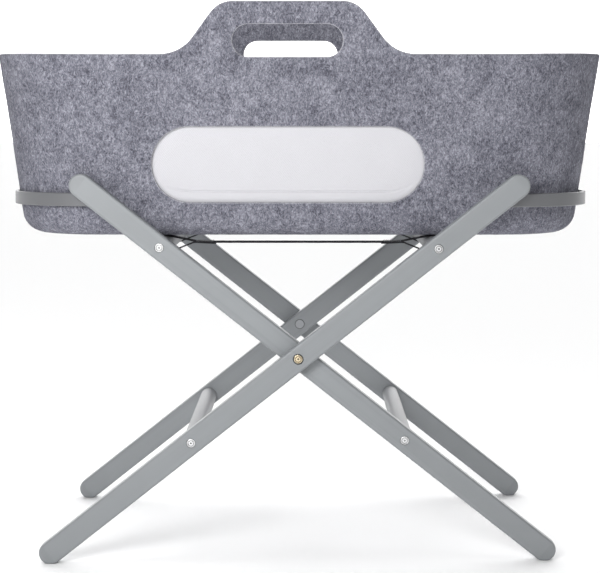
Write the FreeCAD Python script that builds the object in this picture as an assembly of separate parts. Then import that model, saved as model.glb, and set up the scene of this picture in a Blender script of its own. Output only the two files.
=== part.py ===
import FreeCAD, Part
import math
import os

from FreeCAD import Vector

# Folding stand with a felt carrying basket that rests on it.
# Origin: on the floor, under the middle of the pivots. +X to the right, +Y to the far side, +Z up.
# Two leg frames cross like scissors. The front frame leans right (its tops are on the right), and
# the back frame leans left. Each frame is one leg pitch further back than the other on both sides.

# ---- driving dimensions, millimetres and degrees ----

# legs
LEG_ANGLE = 38.35          # slope of the legs above the floor
LEG_WIDTH = 31.0
LEG_THICKNESS = 18.0
LEG_EDGE_ROUND = 3.0
UPPER_REACH = 368.0        # pivot to the centre of the rounded top end
LOWER_REACH = 424.0        # pivot to the centre of the rounded foot
FOOT_CENTRE_HEIGHT = 14.0  # the foot is cut flat this far below its centre
STAND_WIDTH = 420.0        # outer face to outer face, both frames together
LEG_GAP = 2.0              # between two crossing legs, filled by the pivot washer

# crossbars and their screws
CROSSBAR_DIAMETER = 24.0
TOP_BAR_REACH = 235.5      # pivot to the top crossbar, along the leg
LOWER_BAR_REACH = 182.0
SCREW_DIAMETER = 6.0
SCREW_HEAD_DIAMETER = 11.6
SCREW_HEAD_HEIGHT = 3.0
SCREW_HEAD_ROUND = 0.75
SCREW_CORE_DIAMETER = 5.6  # raised middle of a head, round its socket
SCREW_GROOVE_DIAMETER = 9.2
SCREW_GROOVE_DEPTH = 1.8
SCREW_GRIP = 12.0          # screw length inside the threaded insert
INSERT_DIAMETER = 10.0
INSERT_LENGTH = 15.0
SOCKET_SIZE = 2.5          # across the flats of the hexagon socket
SOCKET_DEPTH = 2.0
COUNTERBORE_DEPTH = 3.2
COUNTERBORE_MARGIN = 0.3   # radial room round a crossbar screw's head
HOLE_FIT = 0.1             # radial room round a screw, insert or nut

# pivots
PIVOT_HEAD_DIAMETER = 11.4
PIVOT_POCKET_MARGIN = 1.6  # radial room round a pivot bolt's head
BARREL_DIAMETER = 10.0
BARREL_FLANGE_DIAMETER = 13.8
BARREL_FLANGE_HEIGHT = 2.2
BARREL_FLANGE_ROUND = 0.55
BARREL_FLANGE_MARGIN = 0.7
BARREL_END_GAP = 1.8       # barrel end to bolt head
RUNNING_FIT = 0.05         # radial clearance of a turning barrel
WASHER_DIAMETER = 24.0
WASHER_CLEARANCE = 0.15

# end bands
BAND_HEIGHT = 18.0
BAND_THICKNESS = 4.0
BAND_TOP_BELOW_LEG_TOP = 25.8
BAND_EDGE_ROUND = 1.2
BAND_END_ROUND = 6.0
BAND_TAIL = 14.5           # band end beyond the leg's centre line
BAND_CLEARANCE = 2.9       # basket end to the band's inner face
BAND_SCREW_DIAMETER = 4.0
BAND_SCREW_HEAD_DIAMETER = 8.0
BAND_SCREW_HEAD_HEIGHT = 2.2
BAND_SCREW_GRIP = 12.0
BAND_SCREW_SPACING = 14.0
BAND_SCREW_TAIL = 6.5      # first screw beyond the leg's centre line
BAND_SOCKET_SIZE = 2.7
BAND_SOCKET_DEPTH = 1.0

# webbing straps
STRAP_WIDTH = 25.0
STRAP_THICKNESS = 1.2
STRAP_OFFSET = 115.0       # strap centre from the middle of the stand
STRAP_SEAM_REACH = 40.0    # crossbar centre to the sewn seam
STRAP_SEAM_RISE = 4.0      # seam above the crossbar's centre
STRAP_LAP = 7.2            # sewn tip of a loop beyond the seam
STRAP_RUN_LAP = 2.4        # the straight run beyond each sewn tip
STRAP_CLEARANCE = 0.3

# felt basket
BASKET_LENGTH = 837.0      # at the rim, outside
BASKET_DEPTH = 241.0       # bottom to rim at the long sides
WALL_TAPER = 8.05          # slope of the walls from upright
BASKET_CORNER_RADIUS = 150.0
FELT_THICKNESS = 4.5
BOTTOM_ROUND = 30.0
RIM_END_RISE = 5.0         # the rim lifts this much towards the ends
RIM_LEVEL_HALF = 250.0     # half length of the level middle part of the rim
LEG_CLEARANCE = 2.6        # basket side to the nearest leg, at the leg tops
SEAT_CLEARANCE = 0.3       # basket bottom above the straps on the crossbars

# carrying handles, cut from the same felt
HANDLE_OFFSET = -14.1      # middle of handles and windows along X
HANDLE_RISE = 68.0
HANDLE_HALF_BASE = 168.0
HANDLE_SLOPE = 53.0
HANDLE_BASE_ROUND = 55.0
HANDLE_TOP_ROUND = 36.0
GRIP_LENGTH = 145.0
GRIP_HEIGHT = 42.0
GRIP_BELOW_RIM = 4.0

# mesh windows
WINDOW_LENGTH = 363.0
WINDOW_HEIGHT = 101.0
WINDOW_SILL = 45.0         # above the basket bottom
MESH_BORDER = 12.0
MESH_THICKNESS = 1.0

# base board and mattress
BOARD_THICKNESS = 3.0
MATTRESS_THICKNESS = 50.0
MATTRESS_CLEARANCE = 11.0  # mattress side to the basket's inner wall
MATTRESS_LIFT_GAP = 0.3    # mattress above the board
MATTRESS_EDGE_ROUND = 12.0
COVER_THICKNESS = 1.2
COVER_FIT = 0.1

# ---- worked-out dimensions ----

SLOPE = math.radians(LEG_ANGLE)
PIVOT_HEIGHT = LOWER_REACH * math.sin(SLOPE) + FOOT_CENTRE_HEIGHT
LEG_PITCH = LEG_THICKNESS + LEG_GAP
FRAME_WIDTH = STAND_WIDTH - LEG_PITCH
LEG_TOP = PIVOT_HEIGHT + UPPER_REACH * math.sin(SLOPE) + LEG_WIDTH / 2

TAPER = math.tan(math.radians(WALL_TAPER))
CROSSBAR_TOP = PIVOT_HEIGHT + TOP_BAR_REACH * math.sin(SLOPE) + CROSSBAR_DIAMETER / 2
BASKET_BOTTOM = CROSSBAR_TOP + STRAP_CLEARANCE + STRAP_THICKNESS + SEAT_CLEARANCE
RIM = BASKET_BOTTOM + BASKET_DEPTH
BASKET_TOP = RIM + HANDLE_RISE
INNER_LEG_FACE = STAND_WIDTH / 2 - LEG_PITCH - LEG_THICKNESS
RIM_HALF_LENGTH = BASKET_LENGTH / 2
RIM_HALF_WIDTH = INNER_LEG_FACE - LEG_CLEARANCE + TAPER * (RIM - LEG_TOP)
INNER_FLOOR = BASKET_BOTTOM + FELT_THICKNESS

BAND_TOP = LEG_TOP - BAND_TOP_BELOW_LEG_TOP
BAND_BOTTOM = BAND_TOP - BAND_HEIGHT
BAND_MIDDLE = (BAND_TOP + BAND_BOTTOM) / 2

MARGIN = 20.0              # how far cutting tools run past a surface
TOUCH = 0.01               # lengths below this count as nothing


class Frame:
    """One pair of legs. lean is +1 when its tops are on the right, centre is its middle in Y."""

    def __init__(self, name, lean, centre):
        self.name = name
        self.lean = lean
        self.centre = centre
        self.near_face = centre - FRAME_WIDTH / 2
        self.far_face = centre + FRAME_WIDTH / 2

    def x_at(self, reach):
        return self.lean * reach * math.cos(SLOPE)

    def z_at(self, reach):
        return PIVOT_HEIGHT + reach * math.sin(SLOPE)


FRONT = Frame("front", 1, -LEG_PITCH / 2)
BACK = Frame("back", -1, LEG_PITCH / 2)


def rod(radius, start, end, x=0.0, z=0.0):
    """A round bar along Y between two Y values."""
    return Part.makeCylinder(radius, end - start, Vector(x, start, z), Vector(0, 1, 0))


def from_face(shape, frame, side, x, z):
    """Put a shape made inward from y = 0 onto the frame's near (-1) or far (+1) outer face."""
    placed = shape.copy()
    face = frame.near_face
    if side > 0:
        placed = placed.mirror(Vector(0, 0, 0), Vector(0, 1, 0))
        face = frame.far_face
    placed.translate(Vector(x, face, z))
    return placed


def hexagon_socket(size, depth):
    """A hexagonal prism from y = 0 inward."""
    points = []
    corner = size / 2 / math.cos(math.pi / 6)
    for step in range(7):
        turn = math.pi / 3 * step
        points.append(Vector(corner * math.cos(turn), 0, corner * math.sin(turn)))
    return Part.Face(Part.makePolygon(points)).extrude(Vector(0, depth, 0))


def socket_screw(head_diameter, length):
    """A flanged screw with its head top at y = 0, its socket outward and its shank inward."""
    head = rod(head_diameter / 2, 0, SCREW_HEAD_HEIGHT)
    rim_edges = [edge for edge in head.Edges if edge.Closed and edge.CenterOfMass.y < SCREW_HEAD_HEIGHT / 2]
    head = head.makeFillet(SCREW_HEAD_ROUND, rim_edges)
    groove = rod(SCREW_GROOVE_DIAMETER / 2, -MARGIN, SCREW_GROOVE_DEPTH)
    groove = groove.cut(rod(SCREW_CORE_DIAMETER / 2, -2 * MARGIN, SCREW_HEAD_HEIGHT))
    shank = rod(SCREW_DIAMETER / 2, SCREW_HEAD_HEIGHT, length)
    screw = head.fuse(shank)
    return screw.cut([groove, hexagon_socket(SOCKET_SIZE, SOCKET_DEPTH)]).removeSplitter()


def counterbore(head_diameter, margin, hole_diameter):
    """The hole that takes a screw through a leg, from y = 0 inward."""
    pocket = rod(head_diameter / 2 + margin, -MARGIN, COUNTERBORE_DEPTH)
    return pocket.fuse(rod(hole_diameter / 2, 0, LEG_THICKNESS + MARGIN))


# ---- legs ----

def leg_blank(frame, outer_face, side):
    """One leg: a flat bar with full round ends, laid along its slope and cut flat at the floor."""
    half = LEG_WIDTH / 2
    top_left = Vector(-LOWER_REACH, 0, half)
    top_right = Vector(UPPER_REACH, 0, half)
    low_right = Vector(UPPER_REACH, 0, -half)
    low_left = Vector(-LOWER_REACH, 0, -half)
    outline = Part.Wire([
        Part.makeLine(top_left, top_right),
        Part.Arc(top_right, Vector(UPPER_REACH + half, 0, 0), low_right).toShape(),
        Part.makeLine(low_right, low_left),
        Part.Arc(low_left, Vector(-LOWER_REACH - half, 0, 0), top_left).toShape(),
    ])
    bar = Part.Face(outline).extrude(Vector(0, LEG_THICKNESS, 0))
    face_edges = [edge for edge in bar.Edges if edge.BoundBox.YLength < TOUCH]
    bar = bar.makeFillet(LEG_EDGE_ROUND, face_edges)
    bar.rotate(Vector(0, 0, 0), Vector(0, 1, 0), -LEG_ANGLE)
    if frame.lean < 0:
        bar = bar.mirror(Vector(0, 0, 0), Vector(1, 0, 0))
    low_y = outer_face if side < 0 else outer_face - LEG_THICKNESS
    bar.translate(Vector(0, low_y, PIVOT_HEIGHT))
    size = UPPER_REACH + LOWER_REACH
    above_floor = Part.makeBox(2 * size, 2 * size, 2 * size, Vector(-size, -size, 0))
    return bar.common(above_floor)


def band_screw_places(frame):
    """X positions of the two band screws in each leg of a frame."""
    axis_x = (BAND_MIDDLE - PIVOT_HEIGHT) / math.tan(SLOPE)
    first = axis_x - BAND_SCREW_TAIL
    return [frame.lean * (first + BAND_SCREW_SPACING * index) for index in range(2)]


def make_leg(frame, side):
    """A leg with its crossbar holes, its pivot hole and the pilot holes of the band screws."""
    outer_face = frame.near_face if side < 0 else frame.far_face
    leg = leg_blank(frame, outer_face, side)
    screw_hole = counterbore(SCREW_HEAD_DIAMETER, COUNTERBORE_MARGIN, SCREW_DIAMETER + 2 * HOLE_FIT)
    for reach in (TOP_BAR_REACH, -LOWER_BAR_REACH):
        leg = leg.cut(from_face(screw_hole, frame, side, frame.x_at(reach), frame.z_at(reach)))
    barrel_hole = BARREL_DIAMETER + 2 * RUNNING_FIT
    if frame.lean * side < 0:
        pivot_hole = counterbore(PIVOT_HEAD_DIAMETER, PIVOT_POCKET_MARGIN, barrel_hole)
    else:
        flange_pocket = rod(BARREL_FLANGE_DIAMETER / 2 + BARREL_FLANGE_MARGIN,
                            LEG_THICKNESS - BARREL_FLANGE_HEIGHT - WASHER_CLEARANCE, LEG_THICKNESS + MARGIN)
        pivot_hole = flange_pocket.fuse(rod(barrel_hole / 2, -MARGIN, LEG_THICKNESS + MARGIN))
    leg = leg.cut(from_face(pivot_hole, frame, side, 0, PIVOT_HEIGHT))
    pilot_end = LEG_THICKNESS - BAND_SCREW_GRIP - HOLE_FIT
    pilot = rod(BAND_SCREW_DIAMETER / 2 + HOLE_FIT, pilot_end, LEG_THICKNESS + MARGIN)
    for x in band_screw_places(frame):
        leg = leg.cut(from_face(pilot, frame, side, x, BAND_MIDDLE))
    return leg


# ---- crossbars, screws and inserts ----

def make_crossbar(frame, reach):
    """A round rail between the two legs of a frame, bored at both ends for the inserts."""
    x = frame.x_at(reach)
    z = frame.z_at(reach)
    start = frame.near_face + LEG_THICKNESS
    end = frame.far_face - LEG_THICKNESS
    bar = rod(CROSSBAR_DIAMETER / 2, start, end, x, z)
    bore = INSERT_DIAMETER / 2 + HOLE_FIT
    bar = bar.cut(rod(bore, start - MARGIN, start + INSERT_LENGTH, x, z))
    return bar.cut(rod(bore, end - INSERT_LENGTH, end + MARGIN, x, z))


def make_crossbar_screws(frame):
    """The four socket screws of a frame, heads in the legs' outer faces."""
    head_top = COUNTERBORE_DEPTH - SCREW_HEAD_HEIGHT
    screw = socket_screw(SCREW_HEAD_DIAMETER, LEG_THICKNESS + SCREW_GRIP - head_top)
    screw.translate(Vector(0, head_top, 0))
    screws = []
    for reach in (TOP_BAR_REACH, -LOWER_BAR_REACH):
        for side in (-1, 1):
            screws.append(from_face(screw, frame, side, frame.x_at(reach), frame.z_at(reach)))
    return Part.makeCompound(screws)


def make_inserts(frame):
    """The four threaded inserts inside the crossbar ends of a frame."""
    insert = rod(INSERT_DIAMETER / 2, LEG_THICKNESS, LEG_THICKNESS + INSERT_LENGTH)
    insert = insert.cut(rod(SCREW_DIAMETER / 2 + HOLE_FIT, 0, LEG_THICKNESS + INSERT_LENGTH + MARGIN))
    inserts = []
    for reach in (TOP_BAR_REACH, -LOWER_BAR_REACH):
        for side in (-1, 1):
            inserts.append(from_face(insert, frame, side, frame.x_at(reach), frame.z_at(reach)))
    return Part.makeCompound(inserts)


# ---- pivots: the bolt's head is in the outer leg, the barrel nut's flange in the inner leg ----

def make_pivot_bolt(frame, side):
    head_top = COUNTERBORE_DEPTH - SCREW_HEAD_HEIGHT
    bolt = socket_screw(PIVOT_HEAD_DIAMETER, LEG_PITCH + LEG_THICKNESS / 2)
    bolt.translate(Vector(0, head_top, 0))
    return from_face(bolt, frame, side, 0, PIVOT_HEIGHT)


def make_pivot_nut(frame, side):
    flange_top = LEG_PITCH + LEG_THICKNESS
    barrel_start = COUNTERBORE_DEPTH + BARREL_END_GAP
    nut = rod(BARREL_DIAMETER / 2, barrel_start, flange_top - BARREL_FLANGE_HEIGHT)
    flange = rod(BARREL_FLANGE_DIAMETER / 2, flange_top - BARREL_FLANGE_HEIGHT, flange_top)
    rim_edges = [edge for edge in flange.Edges if edge.Closed and edge.CenterOfMass.y > flange_top - TOUCH]
    flange = flange.makeFillet(BARREL_FLANGE_ROUND, rim_edges)
    nut = nut.fuse(flange)
    thread_end = COUNTERBORE_DEPTH + LEG_PITCH + LEG_THICKNESS / 2
    nut = nut.cut(rod(SCREW_DIAMETER / 2 + HOLE_FIT, 0, thread_end))
    return from_face(nut.removeSplitter(), frame, side, 0, PIVOT_HEIGHT)


def make_pivot_washer(frame, side):
    washer = rod(WASHER_DIAMETER / 2, LEG_THICKNESS, LEG_PITCH - WASHER_CLEARANCE)
    washer = washer.cut(rod(BARREL_DIAMETER / 2 + RUNNING_FIT, 0, LEG_PITCH))
    return from_face(washer, frame, side, 0, PIVOT_HEIGHT)


# ---- end bands ----

def rounded_block(low_x, high_x, half_width, centre_y, low_z, high_z, radius):
    """A block whose two upright corners at high_x are rounded."""
    corner = Vector(low_x, centre_y - half_width, low_z)
    block = Part.makeBox(high_x - low_x, 2 * half_width, high_z - low_z, corner)
    corners = []
    for edge in block.Edges:
        upright = edge.BoundBox.XLength < TOUCH and edge.BoundBox.YLength < TOUCH
        if upright and edge.CenterOfMass.x > high_x - TOUCH:
            corners.append(edge)
    return block.makeFillet(radius, corners)


def make_band(frame):
    """A flat bar bent round one end of the basket and screwed to the inner faces of two legs."""
    axis_x = (BAND_MIDDLE - PIVOT_HEIGHT) / math.tan(SLOPE)
    tail_x = axis_x - BAND_TAIL
    half_width = FRAME_WIDTH / 2 - LEG_THICKNESS
    basket_end = RIM_HALF_LENGTH - TAPER * (RIM - BAND_TOP)
    inner_x = basket_end + BAND_CLEARANCE
    inner_radius = BASKET_CORNER_RADIUS - TAPER * (RIM - BAND_TOP) + BAND_CLEARANCE
    centre_y = frame.centre
    outer = rounded_block(tail_x, inner_x + BAND_THICKNESS, half_width, centre_y,
                          BAND_BOTTOM, BAND_TOP, inner_radius + BAND_THICKNESS)
    inner = rounded_block(tail_x - MARGIN, inner_x, half_width - BAND_THICKNESS, centre_y,
                          BAND_BOTTOM - MARGIN, BAND_TOP + MARGIN, inner_radius)
    band = outer.cut(inner)
    tail_edges = []
    for edge in band.Edges:
        across = abs(edge.BoundBox.YLength - BAND_THICKNESS) < TOUCH and edge.BoundBox.ZLength < TOUCH
        if across and edge.CenterOfMass.x < tail_x + TOUCH:
            tail_edges.append(edge)
    band = band.makeFillet(BAND_END_ROUND, tail_edges)
    long_edges = []
    for edge in band.Edges:
        level = edge.BoundBox.ZLength < TOUCH
        across = edge.BoundBox.XLength < TOUCH and abs(edge.BoundBox.YLength - BAND_THICKNESS) < TOUCH
        if level and not across:
            long_edges.append(edge)
    band = band.makeFillet(BAND_EDGE_ROUND, long_edges)
    if frame.lean < 0:
        band = band.mirror(Vector(0, 0, 0), Vector(1, 0, 0))
    hole = band_screw_hole()
    for x in band_screw_places(frame):
        for side in (-1, 1):
            band = band.cut(from_face(hole, frame, side, x, BAND_MIDDLE))
    return band


def countersunk_head(growth):
    """The cone of a band screw's head, grown by a fit, under the band's inner face."""
    top = LEG_THICKNESS + BAND_THICKNESS
    return Part.makeCone(BAND_SCREW_DIAMETER / 2 + growth, BAND_SCREW_HEAD_DIAMETER / 2 + growth,
                         BAND_SCREW_HEAD_HEIGHT, Vector(0, top - BAND_SCREW_HEAD_HEIGHT, 0), Vector(0, 1, 0))


def band_screw_hole():
    top = LEG_THICKNESS + BAND_THICKNESS
    hole = rod(BAND_SCREW_DIAMETER / 2 + HOLE_FIT, LEG_THICKNESS - MARGIN, top + MARGIN)
    mouth = rod(BAND_SCREW_HEAD_DIAMETER / 2 + HOLE_FIT, top, top + MARGIN)
    return hole.fuse([countersunk_head(HOLE_FIT), mouth])


def make_band_screws(frame):
    """Countersunk screws from the band's inner face into the legs."""
    top = LEG_THICKNESS + BAND_THICKNESS
    shank = rod(BAND_SCREW_DIAMETER / 2, LEG_THICKNESS - BAND_SCREW_GRIP, top - BAND_SCREW_HEAD_HEIGHT)
    screw = shank.fuse(countersunk_head(0)).removeSplitter()
    socket = hexagon_socket(BAND_SOCKET_SIZE, MARGIN)
    socket.translate(Vector(0, top - BAND_SOCKET_DEPTH, 0))
    screw = screw.cut(socket)
    screws = []
    for x in band_screw_places(frame):
        for side in (-1, 1):
            screws.append(from_face(screw, frame, side, x, BAND_MIDDLE))
    return Part.makeCompound(screws)


# ---- webbing straps ----

def teardrop(centre, radius, tip):
    """A face in the XZ plane: a circle and the two tangents from a tip to it."""
    away = tip.sub(centre)
    distance = away.Length
    heading = math.atan2(away.z, away.x)
    spread = math.acos(radius / distance)
    points = []
    for turn in (heading + spread, heading + math.pi, heading - spread):
        points.append(centre.add(Vector(radius * math.cos(turn), 0, radius * math.sin(turn))))
    outline = Part.Wire([
        Part.makeLine(tip, points[0]),
        Part.Arc(points[0], points[1], points[2]).toShape(),
        Part.makeLine(points[2], tip),
    ])
    return Part.Face(outline)


def make_strap(middle_y):
    """One webbing strap, looped round both top crossbars and sewn to itself at each end."""
    inner_radius = CROSSBAR_DIAMETER / 2 + STRAP_CLEARANCE
    pieces = []
    holes = []
    seams = []
    for frame in (BACK, FRONT):
        bar = Vector(frame.x_at(TOP_BAR_REACH), 0, frame.z_at(TOP_BAR_REACH))
        seam = bar.add(Vector(-frame.lean * STRAP_SEAM_REACH, 0, STRAP_SEAM_RISE))
        tail = bar.add(Vector(-frame.lean * (STRAP_SEAM_REACH + STRAP_LAP), 0, STRAP_SEAM_RISE))
        pieces.append(teardrop(bar, inner_radius + STRAP_THICKNESS, tail))
        holes.append(teardrop(bar, inner_radius, seam))
        seams.append(tail)
    run_start = Vector(seams[0].x - STRAP_RUN_LAP, 0, seams[0].z - STRAP_THICKNESS / 2)
    run_length = seams[1].x - seams[0].x + 2 * STRAP_RUN_LAP
    run = Part.makeBox(run_length, STRAP_WIDTH, STRAP_THICKNESS, run_start)
    solids = [face.extrude(Vector(0, STRAP_WIDTH, 0)) for face in pieces]
    strap = run.fuse(solids)
    for face in holes:
        strap = strap.cut(face.extrude(Vector(0, STRAP_WIDTH, 0)))
    strap.translate(Vector(0, middle_y - STRAP_WIDTH / 2, 0))
    return strap.removeSplitter()


# ---- felt basket ----

def rounded_rectangle(half_length, half_width, radius, z):
    """A level wire with four round corners."""
    edges = []
    straight_x = half_length - radius
    straight_y = half_width - radius
    diagonal = radius * math.sqrt(0.5)
    corners = [(1, 1), (-1, 1), (-1, -1), (1, -1)]
    ends = []
    for sign_x, sign_y in corners:
        on_end = Vector(sign_x * half_length, sign_y * straight_y, z)
        middle = Vector(sign_x * (straight_x + diagonal), sign_y * (straight_y + diagonal), z)
        on_side = Vector(sign_x * straight_x, sign_y * half_width, z)
        if sign_x * sign_y > 0:
            ends.append((on_end, middle, on_side))
        else:
            ends.append((on_side, middle, on_end))
    for index, (start, middle, end) in enumerate(ends):
        edges.append(Part.Arc(start, middle, end).toShape())
        edges.append(Part.makeLine(end, ends[(index + 1) % 4][0]))
    return Part.Wire(edges)


def plan_at(z, inset):
    """Half length, half width and corner radius of the basket's wall at a height."""
    shrink = TAPER * (RIM - z) + inset / math.cos(math.radians(WALL_TAPER))
    return RIM_HALF_LENGTH - shrink, RIM_HALF_WIDTH - shrink, BASKET_CORNER_RADIUS - shrink


def tub(inset):
    """The tapered basket as one solid, inset from its outer surface and round at the bottom edge."""
    low = BASKET_BOTTOM + inset
    high = BASKET_TOP + MARGIN
    body = Part.makeLoft([rounded_rectangle(*plan_at(low, inset), low),
                          rounded_rectangle(*plan_at(high, inset), high)], True, True)
    bottom_edges = [edge for edge in body.Edges if edge.BoundBox.ZMax < low + TOUCH]
    return body.makeFillet(BOTTOM_ROUND - inset, bottom_edges)


def arc_turn(start, heading, radius, turn):
    """An arc in XZ from a point and heading, turning by an angle; gives the edge and its end."""
    side = 1 if turn > 0 else -1
    centre = start.add(Vector(-side * radius * math.sin(heading), 0, side * radius * math.cos(heading)))
    points = []
    for share in (0.5, 1.0):
        angle = heading + turn * share
        reach = Vector(side * radius * math.sin(angle), 0, -side * radius * math.cos(angle))
        points.append(centre.add(reach))
    return Part.Arc(start, points[0], points[1]).toShape(), points[1]


def handle_side():
    """The left half outline of a handle, from the rim up to its level top."""
    slope = math.radians(HANDLE_SLOPE)
    start = Vector(HANDLE_OFFSET - HANDLE_HALF_BASE, 0, RIM)
    base_arc, base_end = arc_turn(start, 0.0, HANDLE_BASE_ROUND, slope)
    top_rise = HANDLE_TOP_ROUND * (1 - math.cos(slope))
    rise = BASKET_TOP - top_rise - base_end.z
    slope_end = base_end.add(Vector(rise / math.tan(slope), 0, rise))
    top_arc, top_end = arc_turn(slope_end, slope, HANDLE_TOP_ROUND, -slope)
    return [base_arc, Part.makeLine(base_end, slope_end), top_arc], top_end


def rim_end():
    """The left end of the rim: an arc that lifts it towards the basket's end."""
    run = RIM_HALF_LENGTH - RIM_LEVEL_HALF
    radius = (run ** 2 + RIM_END_RISE ** 2) / (2 * RIM_END_RISE)
    start = Vector(-RIM_LEVEL_HALF, 0, RIM)
    arc, end = arc_turn(start, math.pi, radius, -math.asin(run / radius))
    outside = Vector(-RIM_HALF_LENGTH - 2 * MARGIN, 0, end.z)
    return [Part.makeLine(outside, end), arc], start, outside


def side_outline():
    """The basket's side view as a solid right through it: rim, handles, grip holes and windows."""
    end_edges, level_start, outside = rim_end()
    handle_edges, handle_top = handle_side()
    handle_start = Vector(HANDLE_OFFSET - HANDLE_HALF_BASE, 0, RIM)
    half_top = HANDLE_OFFSET - handle_top.x
    right_top = Vector(HANDLE_OFFSET + half_top, 0, BASKET_TOP)
    right_handle = []
    for edge in handle_edges:
        right_handle.append(edge.mirror(Vector(HANDLE_OFFSET, 0, 0), Vector(1, 0, 0)))
    right_end = [edge.mirror(Vector(0, 0, 0), Vector(1, 0, 0)) for edge in end_edges]
    low = BASKET_BOTTOM - MARGIN
    edges = end_edges + handle_edges + right_handle + right_end
    edges.append(Part.makeLine(level_start, handle_start))
    edges.append(Part.makeLine(handle_top, right_top))
    handle_end = Vector(HANDLE_OFFSET + HANDLE_HALF_BASE, 0, RIM)
    edges.append(Part.makeLine(handle_end, Vector(RIM_LEVEL_HALF, 0, RIM)))
    edges.append(Part.makeLine(outside, Vector(outside.x, 0, low)))
    edges.append(Part.makeLine(Vector(outside.x, 0, low), Vector(-outside.x, 0, low)))
    edges.append(Part.makeLine(Vector(-outside.x, 0, low), Vector(-outside.x, 0, outside.z)))
    outline = Part.Wire(Part.__sortEdges__(edges))
    depth = 2 * RIM_HALF_WIDTH + 4 * MARGIN
    solid = Part.Face(outline).extrude(Vector(0, depth, 0))
    solid.translate(Vector(0, -depth / 2, 0))
    return solid


def stadium(length, height, centre_z, start, depth):
    """A bar along Y with full round ends in side view, centred on the handles."""
    radius = height / 2
    straight = length / 2 - radius
    left_top = Vector(HANDLE_OFFSET - straight, start, centre_z + radius)
    left_low = Vector(HANDLE_OFFSET - straight, start, centre_z - radius)
    right_top = Vector(HANDLE_OFFSET + straight, start, centre_z + radius)
    right_low = Vector(HANDLE_OFFSET + straight, start, centre_z - radius)
    outline = Part.Wire([
        Part.makeLine(left_top, right_top),
        Part.Arc(right_top, Vector(HANDLE_OFFSET + length / 2, start, centre_z), right_low).toShape(),
        Part.makeLine(right_low, left_low),
        Part.Arc(left_low, Vector(HANDLE_OFFSET - length / 2, start, centre_z), left_top).toShape(),
    ])
    return Part.Face(outline).extrude(Vector(0, depth, 0))


def make_felt_shell():
    """The felt tub with its handles, grip holes and window cut-outs."""
    shell = tub(0).cut(tub(FELT_THICKNESS)).common(side_outline())
    reach = RIM_HALF_WIDTH + 2 * MARGIN
    grip_middle = RIM - GRIP_BELOW_RIM + GRIP_HEIGHT / 2
    window_middle = BASKET_BOTTOM + WINDOW_SILL + WINDOW_HEIGHT / 2
    grip = stadium(GRIP_LENGTH, GRIP_HEIGHT, grip_middle, -reach, 2 * reach)
    window = stadium(WINDOW_LENGTH, WINDOW_HEIGHT, window_middle, -reach, 2 * reach)
    return shell.cut([grip, window])


def make_window_mesh(side):
    """A thin mesh panel on the inner face of the wall, behind a window."""
    sheet = tub(FELT_THICKNESS).cut(tub(FELT_THICKNESS + MESH_THICKNESS))
    window_middle = BASKET_BOTTOM + WINDOW_SILL + WINDOW_HEIGHT / 2
    reach = RIM_HALF_WIDTH + 2 * MARGIN
    start = -reach if side < 0 else 0
    length = WINDOW_LENGTH + 2 * MESH_BORDER
    height = WINDOW_HEIGHT + 2 * MESH_BORDER
    cutter = stadium(length, height, window_middle, start, reach)
    return sheet.common(cutter)


def level_slab(half_length, half_width, radius, low, high):
    """A flat slab with rounded plan corners."""
    outline = rounded_rectangle(half_length, half_width, radius, low)
    return Part.Face(outline).extrude(Vector(0, 0, high - low))


def make_base_board():
    """The stiff board that lies on the flat part of the basket's floor."""
    half_length, half_width, radius = plan_at(INNER_FLOOR, FELT_THICKNESS)
    round_inset = (BOTTOM_ROUND - FELT_THICKNESS) * math.tan(math.radians(90 - WALL_TAPER) / 2)
    return level_slab(half_length - round_inset, half_width - round_inset, radius - round_inset,
                      INNER_FLOOR, INNER_FLOOR + BOARD_THICKNESS)


def mattress_block(inset):
    """The mattress as a soft-edged slab, inset from its outer surface."""
    half_length, half_width, radius = plan_at(INNER_FLOOR, FELT_THICKNESS)
    shrink = MATTRESS_CLEARANCE + inset
    low = INNER_FLOOR + BOARD_THICKNESS + MATTRESS_LIFT_GAP + inset
    high = low + MATTRESS_THICKNESS - 2 * inset
    slab = level_slab(half_length - shrink, half_width - shrink, radius - shrink, low, high)
    level_edges = [edge for edge in slab.Edges if edge.BoundBox.ZLength < TOUCH]
    return slab.makeFillet(MATTRESS_EDGE_ROUND - inset, level_edges)


def make_mattress_core():
    return mattress_block(COVER_THICKNESS + COVER_FIT)


def make_mattress_cover():
    return mattress_block(0).cut(mattress_block(COVER_THICKNESS))


# ---- all pieces ----

def build_parts():
    parts = {}
    for frame, top_side, low_side in ((FRONT, "right", "left"), (BACK, "left", "right")):
        parts[frame.name + "_leg_near"] = make_leg(frame, -1)
        parts[frame.name + "_leg_far"] = make_leg(frame, 1)
        parts[top_side + "_top_crossbar"] = make_crossbar(frame, TOP_BAR_REACH)
        parts[low_side + "_lower_crossbar"] = make_crossbar(frame, -LOWER_BAR_REACH)
        parts[frame.name + "_crossbar_screws"] = make_crossbar_screws(frame)
        parts[frame.name + "_crossbar_inserts"] = make_inserts(frame)
        parts[top_side + "_end_band"] = make_band(frame)
        parts[frame.name + "_band_screws"] = make_band_screws(frame)
    for name, frame, side in (("near", FRONT, -1), ("far", BACK, 1)):
        parts[name + "_pivot_bolt"] = make_pivot_bolt(frame, side)
        parts[name + "_pivot_nut"] = make_pivot_nut(frame, side)
        parts[name + "_pivot_washer"] = make_pivot_washer(frame, side)
        parts[name + "_strap"] = make_strap(side * STRAP_OFFSET)
        parts[name + "_window_mesh"] = make_window_mesh(side)
    parts["felt_shell"] = make_felt_shell()
    parts["base_board"] = make_base_board()
    parts["mattress_core"] = make_mattress_core()
    parts["mattress_cover"] = make_mattress_cover()
    return parts


os.makedirs("parts", exist_ok=True)
for name, shape in build_parts().items():
    shape.exportStep("parts/" + name + ".step")
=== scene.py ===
import math

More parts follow.
